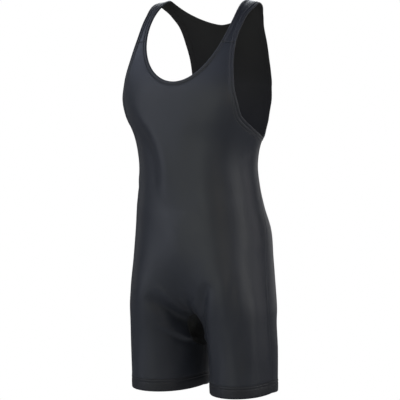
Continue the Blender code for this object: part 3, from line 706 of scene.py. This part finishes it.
def knit(name, colour, roughness, sheen, loft=0.00012, matte=False):
    """Stretch knit: fine wales and courses in relief, mottled yarn, and a soft sheen."""
    look = bpy.data.materials.new(name)
    look.use_nodes = True
    nodes, links = look.node_tree.nodes, look.node_tree.links
    shader = nodes["Principled BSDF"]
    shader.inputs["Sheen Weight"].default_value = sheen
    shader.inputs["Sheen Roughness"].default_value = 0.45
    shader.inputs["Specular IOR Level"].default_value = 0.15 if matte else 0.5
    place = nodes.new("ShaderNodeTexCoord")

    def texture(kind, source, scale):
        made = nodes.new(kind)
        made.inputs["Scale"].default_value = scale
        links.new(place.outputs[source], made.inputs["Vector"])
        return made

    def scaled(source, low, high):
        made = nodes.new("ShaderNodeMapRange")
        made.inputs["From Min"].default_value, made.inputs["From Max"].default_value = 0.3, 0.7
        made.inputs["To Min"].default_value, made.inputs["To Max"].default_value = low, high
        links.new(source, made.inputs["Value"])
        return made.outputs["Result"]

    def combined(operation, first, second):
        made = nodes.new("ShaderNodeMath")
        made.operation = operation
        links.new(first, made.inputs[0])
        links.new(second, made.inputs[1])
        return made.outputs[0]

    wales = texture("ShaderNodeTexWave", "UV", WAVE_PERIOD / WALE)
    courses = texture("ShaderNodeTexWave", "UV", WAVE_PERIOD / COURSE)
    courses.bands_direction = "Y"
    yarn = texture("ShaderNodeTexNoise", "Object", YARN_SCALE)
    cloud = texture("ShaderNodeTexNoise", "Object", CLOUD_SCALE)
    cloud.inputs["Detail"].default_value = 4
    stitch = combined("MULTIPLY", wales.outputs["Color"], courses.outputs["Color"])
    height = combined("ADD", stitch, scaled(yarn.outputs["Fac"], 0, 0.35))
    bump = nodes.new("ShaderNodeBump")
    bump.inputs["Strength"].default_value = 0.4
    bump.inputs["Distance"].default_value = loft
    links.new(height, bump.inputs["Height"])
    links.new(bump.outputs["Normal"], shader.inputs["Normal"])

    shade = combined("MULTIPLY", scaled(yarn.outputs["Fac"], 0.90, 1.10),
                     scaled(cloud.outputs["Fac"], 0.93, 1.07))
    tint = nodes.new("ShaderNodeVectorMath")
    tint.operation = "SCALE"
    tint.inputs[0].default_value = colour
    links.new(shade, tint.inputs["Scale"])
    links.new(tint.outputs[0], shader.inputs["Base Color"])
    links.new(scaled(cloud.outputs["Fac"], roughness - 0.03, roughness + 0.03),
              shader.inputs["Roughness"])
    return look


charcoal_satin = knit("charcoal satin knit", (0.0175, 0.0202, 0.0290), 0.42, 0.04)
charcoal_inside = knit("charcoal knit, inner side", (0.0310, 0.0305, 0.0305), 0.80, 0.05,
                       matte=True)

front_neck_line, front_arm_line = front_neck(NECK_BINDING - LAP), front_arm(ARM_BINDING - LAP)
front_places = np.vstack([trunk(front_neck_line, front_arm_line, CHEST_END, FRONT, 0),
                          leg_rows(FRONT)])
front_cloth = both_halves("front_panel_cloth", on_figure(front_places), 1,
                          grain_of(front_places, FRONT), (charcoal_satin, charcoal_inside))
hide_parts("front_panel")

# --- Back panel -----------------------------------------------------------------------------------
# The same knit, in one piece from the strap seams over the shoulders down to the hems, with the
# cut-in armholes and the shallow nape.
STRAP_ROWS, NAPE_ROWS, SHOULDERS_ROWS = 40, 40, 50
BACK_ARM_MIDDLE = -0.0950       # place on the armhole level with the nape
SHOULDERS_END = -0.2550         # place on the centre back level with the underarm
ARMHOLE_BACK = np.array([
    (0.3205, 0.0360), (0.3105, 0.0665), (0.2860, 0.1005), (0.2433, 0.1347), (0.1986, 0.1450),
    (0.1600, 0.1365), (0.1200, 0.1200), (0.0780, 0.0990), (0.0480, 0.0770), (0.0000, 0.0471),
])


def back_neck(inset):
    """Up the strap, over the shoulder crest and down to the middle of the nape."""
    strap = stretch(front_neckline(inset), STRAP_SEAM + GAP / 2, 0, STRAP_ROWS)
    turn = np.linspace(0, np.pi / 2, SCOOP_STEPS)
    cut = neck_cut(CREST_HALF * np.sin(turn) ** (2 / NAPE_POWER),
                   NAPE * np.cos(turn) ** (2 / NAPE_POWER), BACK, inset)
    return np.vstack([strap[:0:-1], stretch(cut, cut[0, 0], 0, NAPE_ROWS)])


def back_arm(inset):
    """Up the strap, over the shoulder crest and down to the underarm."""
    strap = stretch(armhole_cut(ARMHOLE_FRONT, FRONT, inset), STRAP_SEAM + GAP / 2, 0, STRAP_ROWS)
    cut = armhole_cut(ARMHOLE_BACK, BACK, inset)
    upper = stretch(cut, BACK_ARM_MIDDLE, 0, NAPE_ROWS)
    lower = stretch(cut, cut[0, 0], BACK_ARM_MIDDLE, SHOULDERS_ROWS)
    lower[-1, 1] = side_seam(lower[-1, 0], BACK)
    return np.vstack([strap[:0:-1], upper, lower[1:]])


back_neck_line, back_arm_line = back_neck(NECK_BINDING - LAP), back_arm(ARM_BINDING - LAP)
back_places = np.vstack([trunk(back_neck_line, back_arm_line, SHOULDERS_END, BACK, STRAP_ROWS),
                         leg_rows(BACK)])
back_cloth = both_halves("back_panel_cloth", on_figure(back_places), -1,
                         grain_of(back_places, BACK), (charcoal_satin, charcoal_inside))
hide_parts("back_panel")

# --- Gusset ---------------------------------------------------------------------------------------
# A lozenge of duller stretch knit set into the crotch, so that the legs can spread, coloured
# near black as painted shade between the legs. It is sewn flat to both panels all round, its
# blunt points on the two inseams.
GUSSET_LONG = 24        # rows of cells from front to back

gusset_angle, gusset_front = gusset_edge(FRONT, GAP / 2)
gusset_back = gusset_edge(BACK, GAP / 2)[1]
gusset_share = np.linspace(0, 1, GUSSET_LONG + 1)[:, None]
gusset_y = gusset_front * (1 - gusset_share) + gusset_back * gusset_share
gusset_half = crotch_points(gusset_angle + 0 * gusset_y, gusset_y)
gusset_steps = np.linalg.norm(np.diff(gusset_half, axis=1), axis=-1)
gusset_across = np.concatenate([0 * gusset_y[:, :1], np.cumsum(gusset_steps, 1)], 1)
# The gusset knit's colour is far darker than the panels' as painted shade: it stands for the shade
# that falls in the crotch between the legs.
gusset_painted_shade_knit = knit("charcoal knit, gusset", (0.0040, 0.0045, 0.0060), 0.72, 0.02)
gusset_cloth = both_halves("crotch_gusset_cloth", gusset_half, 1,
                           np.stack([gusset_across, gusset_y], -1), (gusset_painted_shade_knit, charcoal_inside))
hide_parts("crotch_gusset")

# --- Bindings -------------------------------------------------------------------------------------
# Strips of matte knit folded over the neckline and both armholes, each in a front and a back
# length that meet at the strap seams, and held by rows of straight stitches sunk into them.
binding_look = knit("charcoal binding", (0.0170, 0.0190, 0.0260), 0.50, 0.12)
# The strip in section, as (share of its width in from the fold, distance out from the figure),
# from the fold over the outer side to the inner edge and back underneath.
NECK_SECTION = np.array([
    (0.000, 0.0004), (0.012, 0.0012), (0.070, 0.0020), (0.200, 0.0026), (0.380, 0.0026),
    (0.560, 0.0021), (0.680, 0.0012), (0.760, 0.0006), (0.840, 0.0011), (0.930, 0.0016),
    (0.985, 0.0013), (1.000, 0.0006), (1.000, -0.0001), (0.985, -0.0005), (0.940, -0.0006),
    (0.840, -0.0006), (0.760, -0.0005), (0.680, -0.0006), (0.560, -0.0006), (0.380, -0.0006),
    (0.200, -0.0006), (0.060, -0.0004), (0.012, -0.0002), (0.000, 0.0001),
])
ARM_SECTION = np.array([
    (0.000, 0.0004), (0.010, 0.0012), (0.060, 0.0021), (0.140, 0.0025), (0.240, 0.0024),
    (0.330, 0.0014), (0.390, 0.0006), (0.450, 0.0014), (0.530, 0.0022), (0.670, 0.0022),
    (0.760, 0.0015), (0.850, 0.0006), (0.920, 0.0012), (0.985, 0.0013), (1.000, 0.0006),
    (1.000, -0.0001), (0.985, -0.0005), (0.920, -0.0006), (0.850, -0.0005), (0.760, -0.0006),
    (0.670, -0.0006), (0.530, -0.0006), (0.390, -0.0005), (0.240, -0.0006), (0.140, -0.0006),
    (0.060, -0.0004), (0.010, -0.0002), (0.000, 0.0001),
])
NECK_UNDER, ARM_UNDER = 12, 15      # the first points of those sections on the inner side
LEVELS = 5              # lines across a strip on which the figure is measured
CHEST_MIDDLE = np.array([0.0, -0.02, -0.30])    # the strips face away from here


def strip_base(edge, width):
    """The figure under a strip: points and outward directions on lines at even insets."""
    lines = [edge(inset) for inset in np.linspace(0, width, LEVELS)]
    points = np.stack([on_figure(line) for line in lines], 1)
    points[np.abs(points[:, 0, 0]) < 1e-5, :, 0] = 0
    out = outward(points, 1)
    return points, out * np.sign(np.sum(out * (points - CHEST_MIDDLE), -1, keepdims=True))


def across_strip(base, share):
    """A value of the strip's base at shares of its width, read between its lines."""
    at = np.clip(share * (LEVELS - 1), 0, LEVELS - 1 - 1e-9)
    line = at.astype(int)
    t = (at - line)[:, None]
    return base[:, line] * (1 - t) + base[:, line + 1] * t


def facing_out(points, faces):
    """Faces of closed solids, turned over if the volume they bound comes out negative."""
    a, b, c, d = (points.reshape(-1, 3)[faces[:, corner]] for corner in range(4))
    volume = np.sum(a * np.cross(b, c)) + np.sum(a * np.cross(c, d))
    return faces if volume > 0 else faces[:, ::-1]


def end_faces(rows, around):
    """Faces that close both ends of a tube, each pairing the two halves of its ring."""
    pair = np.arange(around // 2 - 1)
    cap = np.stack([pair, pair + 1, around - 2 - pair, around - 1 - pair], -1)
    return np.vstack([cap, (cap + (rows - 1) * around)[:, ::-1]])


def strip_grain(points, width):
    """Round the strip's section, and along the strip."""
    across = np.linspace(0, 2 * width, points.shape[1])
    return np.stack(np.broadcast_arrays(across, length_along(points[:, 0])[:, None]), -1)


def closed_strip(name, points, width, under):
    """A solid through rings of points: rows along the strip, columns round its section.

    From the column `under` on, its faces lie on the inner side and have the darker inner look.
    """
    rows, around = points.shape[:2]
    side, ends = grid_faces(rows, around, ring=True), end_faces(rows, around)
    faces = facing_out(points, np.vstack([side, ends]))
    strip = lay(name, points, faces, strip_grain(points, width), (binding_look, charcoal_inside))
    inner = np.append(np.arange(len(side)) % around >= under, np.zeros(len(ends), bool))
    strip.data.polygons.foreach_set("material_index", inner.astype(int))
    return strip


def laid_strip(base, out, section_rows, mirror):
    """The strip's section carried along its base, on one side of the garment."""
    points = across_strip(base, section_rows[:, 0]) * mirror
    off = across_strip(out, section_rows[:, 0]) * mirror
    return points + off * (relief(points) + section_rows[:, 1])[..., None]


LEFT_SIDE, RIGHT_SIDE = np.array([1.0, 1.0, 1.0]), np.array([-1.0, 1.0, 1.0])


def neck_strip(name, edge):
    """Both halves of a neckline binding in one strip from strap seam to strap seam."""
    base, out = strip_base(edge, NECK_BINDING)
    left, right = (laid_strip(base, out, NECK_SECTION, side) for side in (LEFT_SIDE, RIGHT_SIDE))
    return closed_strip(name, np.vstack([right, left[-2::-1]]), NECK_BINDING, NECK_UNDER)


def arm_strip(name, edge, side):
    """A length of armhole binding on the left or the right."""
    base, out = strip_base(edge, ARM_BINDING)
    points = laid_strip(base, out, ARM_SECTION, side)
    return closed_strip(name, points, ARM_BINDING, ARM_UNDER)


front_neck_strip = neck_strip("front_neck_strip", front_neck)
back_neck_strip = neck_strip("back_neck_strip", back_neck)
left_front_arm_strip = arm_strip("left_front_arm_strip", front_arm, LEFT_SIDE)
left_back_arm_strip = arm_strip("left_back_arm_strip", back_arm, LEFT_SIDE)
right_front_arm_strip = arm_strip("right_front_arm_strip", front_arm, RIGHT_SIDE)
right_back_arm_strip = arm_strip("right_back_arm_strip", back_arm, RIGHT_SIDE)
for strip, node in ((front_neck_strip, "front_neck_binding"),
                    (back_neck_strip, "back_neck_binding"),
                    (left_front_arm_strip, "left_front_arm_binding"),
                    (left_back_arm_strip, "left_back_arm_binding"),
                    (right_front_arm_strip, "right_front_arm_binding"),
                    (right_back_arm_strip, "right_back_arm_binding")):
    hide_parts(node)

# --- Hems -----------------------------------------------------------------------------------------
# The leg ends, turned up once to 27 mm, so two cloths thick, with a rounded fold at the bottom.
# Two rows of stitches near the top hold the turned-up edge.
HEM_END = -0.8000       # leg end at the side seam and inseam
hem_look = knit("charcoal hem", (0.0080, 0.0090, 0.0140), 0.56, 0.04)
# The band in section, as (share of its height down, distance out from the figure), from the top
# of the inner side down round the fold and up the outer side, with a groove under each stitch row.
HEM_SECTION = np.array([
    (0.000, 0.0002), (0.010, -0.0002), (0.060, -0.0003), (0.200, -0.0001), (0.400, 0.0000),
    (0.600, 0.0000), (0.800, 0.0000), (0.950, 0.0000), (0.985, 0.0003), (1.000, 0.0009),
    (0.992, 0.0016), (0.965, 0.0020), (0.800, 0.0021), (0.600, 0.0021), (0.400, 0.0020),
    (0.340, 0.0018), (0.290, 0.0009), (0.240, 0.0018), (0.190, 0.0020), (0.135, 0.0018),
    (0.090, 0.0009), (0.045, 0.0015), (0.015, 0.0016), (0.000, 0.0012),
])


def hem_base():
    """The figure under a hem band, rows round the leg from the inseam and lines going down."""
    height = np.linspace(HEM_TOP - GAP, HEM_END, LEVELS)
    halves = []
    for face in (FRONT, BACK):
        inner = np.column_stack([height, face * girth(height, face)])
        sag = np.full(LEVELS, hem_sag(face))
        halves.append(rows_between(inner, np.column_stack([height, 0 * height]), sag, sag))
    places = np.hstack([halves[0][:, :-1], halves[1][:, :0:-1]])
    points = on_figure(places).transpose(1, 0, 2)
    return points, outward(np.concatenate([points[-1:], points, points[:1]]), -1)[1:-1]


leg_end, leg_end_out = hem_base()


def hem_band(name, side):
    """The band's section carried round the leg end, a solid closed both ways."""
    points = laid_strip(leg_end, leg_end_out, HEM_SECTION, side)
    around, rows = points.shape[:2]
    faces = grid_faces(around + 1, rows, ring=True) % (around * rows)
    return lay(name, points, facing_out(points, faces), strip_grain(points, HEM_TOP - HEM_END),
               (hem_look,))


left_hem_band = hem_band("left_hem_band", LEFT_SIDE)
right_hem_band = hem_band("right_hem_band", RIGHT_SIDE)
for band, node in ((left_hem_band, "left_leg_hem"), (right_hem_band, "right_leg_hem")):
    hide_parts(node)

# --- Stitching ------------------------------------------------------------------------------------
# Textured polyester thread in the charcoal of the cloth: a row of straight stitches in each groove
# of the bindings and hems, and two rows over every flat seam: at the sides, the inseams, the straps
# and round the gusset.
THREAD = 0.00020        # radius of the thread
STITCH, PITCH = 0.0021, 0.0028          # a stitch's length, and from one to the next
SEAM_APART = 0.0018     # from a seam out to each of its two rows
SIDE_STEPS, INSEAM_STEPS, STRAP_STEPS = 200, 40, 13     # points along those seams
thread_look = knit("charcoal thread", (0.0200, 0.0240, 0.0330), 0.60, 0.10, loft=0.00004)
# A stitch in section: (share of half its length along, share of its radius, how many radii it
# dips), so that both its ends go down into the cloth.
STITCH_SECTION = np.array([(-1.0, 0.5, 1.6), (-0.6, 1.0, 0.3), (0.6, 1.0, 0.3), (1.0, 0.5, 1.6)])


def stitch_row(line, out, lift):
    """Stitches at even distances along a line of points, with directions off the cloth there.

    Each is a six-sided tube: centre + along x + across (r cos a) + out (lift - dip + r sin a).
    """
    length = length_along(line)
    at = np.arange(PITCH / 2, length[-1] - STITCH / 2, PITCH)

    def read(values):
        return np.stack([np.interp(at, length, values[:, axis]) for axis in range(3)], -1)

    middle, off = read(line), read(out)
    along = read(np.gradient(line, axis=0))
    along /= np.linalg.norm(along, axis=1, keepdims=True)
    across = np.cross(along, off)
    turn = np.arange(6) * np.pi / 3
    x, radius, dip = STITCH_SECTION.T[..., None]
    x = x * STITCH / 2 + 0 * turn
    side = THREAD * radius * np.cos(turn)
    rise = THREAD * (radius * np.sin(turn) - dip) + lift
    return (middle[:, None, None] + along[:, None, None] * x[..., None]
            + across[:, None, None] * side[..., None] + off[:, None, None] * rise[..., None])


def stitching(name, rows):
    """Rows of stitches in one piece."""
    points = np.concatenate(rows)
    count, stations, around = points.shape[:3]
    one = np.vstack([grid_faces(stations, around, ring=True), end_faces(stations, around)])
    faces = facing_out(points[0], one) + np.arange(count)[:, None, None] * stations * around
    weave = np.stack(np.broadcast_arrays(points[..., 0], points[..., 2]), -1)
    piece = lay(name, points, faces.reshape(-1, 4), weave, (thread_look,))
    return piece


def seam_rows(points, out):
    """Stitches along lines laid flat on the cloth, on the left and on the right."""
    rows = []
    for line, off in zip(points, out):
        for side in (LEFT_SIDE, RIGHT_SIDE):
            on_cloth = line * side + off * side * relief(line * side)[:, None]
            rows.append(stitch_row(on_cloth, off * side, SEAM_LIFT))
    return rows


def groove_row(base, out, share, lift, side):
    """Stitches in a strip's groove at a share of its width."""
    line = laid_strip(base, out, np.array([[share, 0.0]]), side)[:, 0]
    off = across_strip(out, np.array([share]))[:, 0] * side
    return stitch_row(line, off, lift)


GROOVE_LIFT = 0.0009    # the thread's middle in the grooves, out from the figure
SEAM_LIFT = 0.0013      # and over the flat seams
NECK_GROOVES, ARM_GROOVES, HEM_GROOVES = (0.76,), (0.39, 0.85), (0.09, 0.29)
front_neck_base, back_neck_base = (strip_base(edge, NECK_BINDING)
                                   for edge in (front_neck, back_neck))
front_arm_base, back_arm_base = (strip_base(edge, ARM_BINDING) for edge in (front_arm, back_arm))
looped_leg = [np.concatenate([part, part[:1]]) for part in (leg_end, leg_end_out)]


def both_sides(bases, grooves):
    """Rows in all the grooves of several strips, on the left and on the right."""
    return [groove_row(*base, share, GROOVE_LIFT, side)
            for base in bases for share in grooves for side in (LEFT_SIDE, RIGHT_SIDE)]


neck_stitching = stitching("neck_stitching", both_sides((front_neck_base, back_neck_base),
                                                        NECK_GROOVES))
arm_stitching = stitching("armhole_stitching", both_sides((front_arm_base, back_arm_base),
                                                          ARM_GROOVES))
hem_stitching = stitching("hem_stitching", both_sides((looped_leg,), HEM_GROOVES))

side_heights = np.linspace(front_arm(ARM_BINDING)[-1, 0], HEM_TOP, SIDE_STEPS)
side_lines = level_points(side_heights, bend(SIDE_SEAM, 0, 1, side_heights)
                          + np.array([[-SEAM_APART], [SEAM_APART]]))
side_stitching = stitching("side_seam_stitching", seam_rows(side_lines, slope(side_lines)))
inseam_heights = np.linspace(GUSSET_TIP - 2 * SEAM_APART, HEM_TOP, INSEAM_STEPS)
inseam_lines = np.stack([level_points(inseam_heights,
                                      face * (girth(inseam_heights, face) - SEAM_APART))
                         for face in (FRONT, BACK)])
inseam_stitching = stitching("inseam_stitching", seam_rows(inseam_lines, slope(inseam_lines)))
gusset_lines = np.stack([crotch_points(*gusset_edge(face, apart))[:-1] for face in (FRONT, BACK)
                         for apart in (-SEAM_APART, SEAM_APART)])
gusset_stitching = stitching("gusset_stitching", seam_rows(gusset_lines, slope(gusset_lines)))
strap_across = np.linspace(front_neck(NECK_BINDING)[0, 1], front_arm(ARM_BINDING)[0, 1],
                           STRAP_STEPS)
strap_grid = level_points(STRAP_SEAM + SEAM_APART * np.array([[1], [0], [-1]]), strap_across)
strap_out = outward(strap_grid, 1)
strap_stitching = stitching("strap_seam_stitching", seam_rows(strap_grid[::2], strap_out[::2]))


front_half, back_half = on_figure(front_places), on_figure(back_places)
